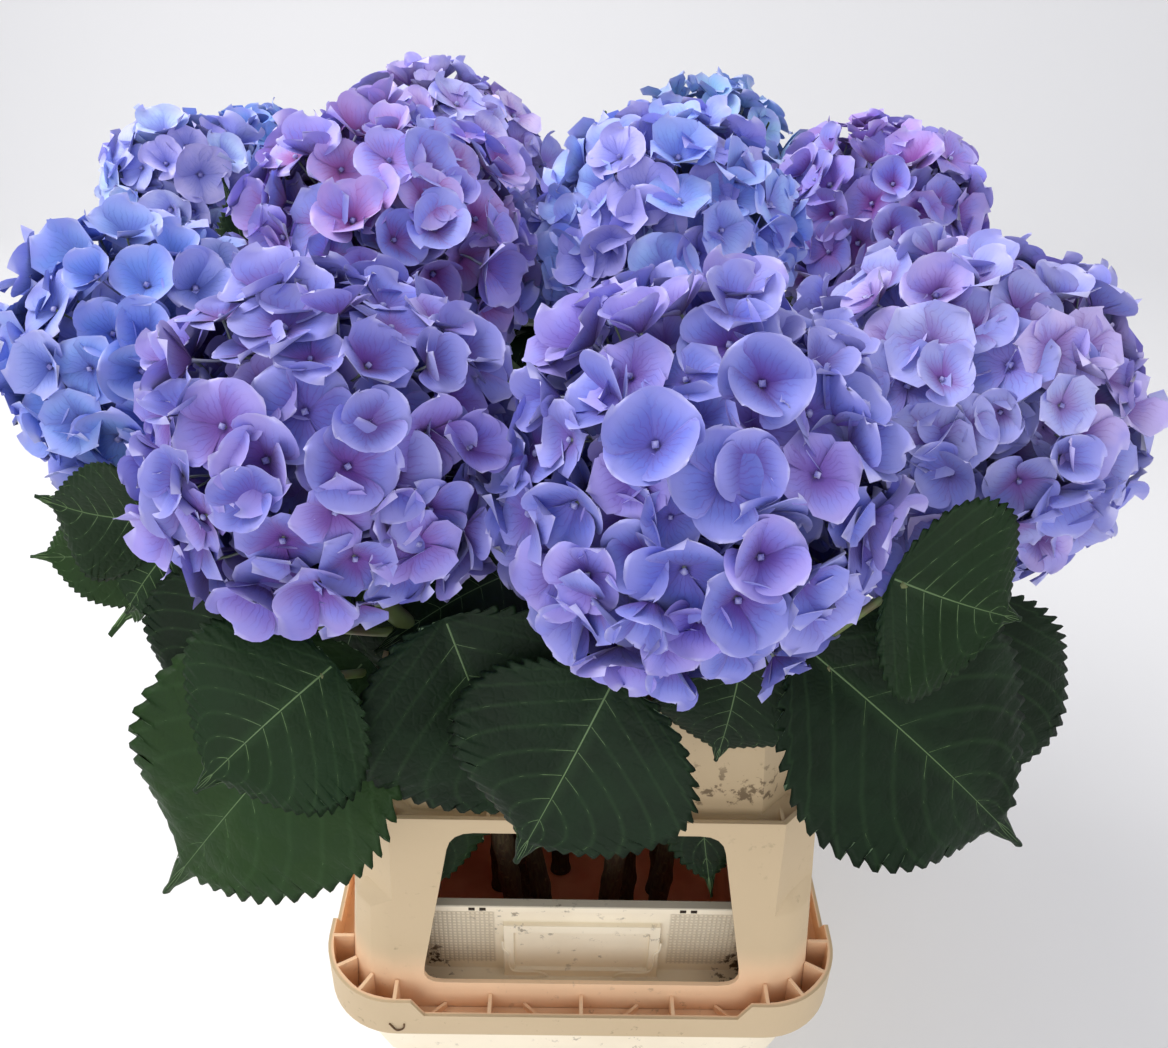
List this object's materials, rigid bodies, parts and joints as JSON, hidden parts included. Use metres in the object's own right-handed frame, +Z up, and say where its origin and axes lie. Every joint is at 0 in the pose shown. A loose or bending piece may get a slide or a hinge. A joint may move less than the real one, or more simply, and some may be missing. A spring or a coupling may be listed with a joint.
{
  "type": "hydrangeas in a flower bucket",
  "caption": "Bunch of cut mophead hydrangeas with broad toothed leaves, standing in a rectangular plastic flower bucket with a tapered, windowed collar.",
  "frame": {"origin": "on the ground under the middle of the bucket", "axes": "+Z up, -Y out of the bucket's short side with the label holder, Y along the bucket's long side"},
  "size_m": [0.594, 0.6091, 0.6117],
  "materials": {
    "bucket_plastic": "cream moulded plastic, satin, a little dirty",
    "collar_plastic": "cream to peach moulded plastic, satin, a little dirty",
    "stem_bark": "green-brown woody stem",
    "leaf": "fresh dark green leaf with pale veins",
    "petal_lilac": "soft lilac-blue petals",
    "petal_periwinkle": "soft periwinkle petals",
    "petal_light_lilac": "soft light lilac petals",
    "petal_blue": "soft clear blue petals",
    "petal_mauve": "soft pink-mauve petals",
    "petal_deep_blue": "soft deeper blue petals",
    "petal_pale_blue": "soft pale sky-blue petals",
    "petal_purple": "soft purple petals"
  },
  "bodies": {
    "root": {"bucket": "bucket_plastic", "collar_flange": "collar_plastic", "collar_sleeve": "collar_plastic", "collar_neck": "collar_plastic", "stem_front_left": "stem_bark", "leaves_front_left": "leaf", "bloom_front_left": "petal_lilac", "stem_front": "stem_bark", "leaves_front": "leaf", "bloom_front": "petal_periwinkle", "stem_right": "stem_bark", "leaves_right": "leaf", "bloom_right": "petal_light_lilac", "stem_left": "stem_bark", "leaves_left": "leaf", "bloom_left": "petal_blue", "stem_mid_left": "stem_bark", "leaves_mid_left": "leaf", "bloom_mid_left": "petal_mauve", "stem_mid": "stem_bark", "leaves_mid": "leaf", "bloom_mid": "petal_periwinkle", "stem_back_left": "stem_bark", "leaves_back_left": "leaf", "bloom_back_left": "petal_blue", "stem_far_left": "stem_bark", "leaves_far_left": "leaf", "bloom_far_left": "petal_deep_blue", "stem_back": "stem_bark", "leaves_back": "leaf", "bloom_back": "petal_light_lilac", "stem_back_mid": "stem_bark", "leaves_back_mid": "leaf", "bloom_back_mid": "petal_pale_blue", "stem_back_right": "stem_bark", "leaves_back_right": "leaf", "bloom_back_right": "petal_purple"}
  },
  "joints": []
}
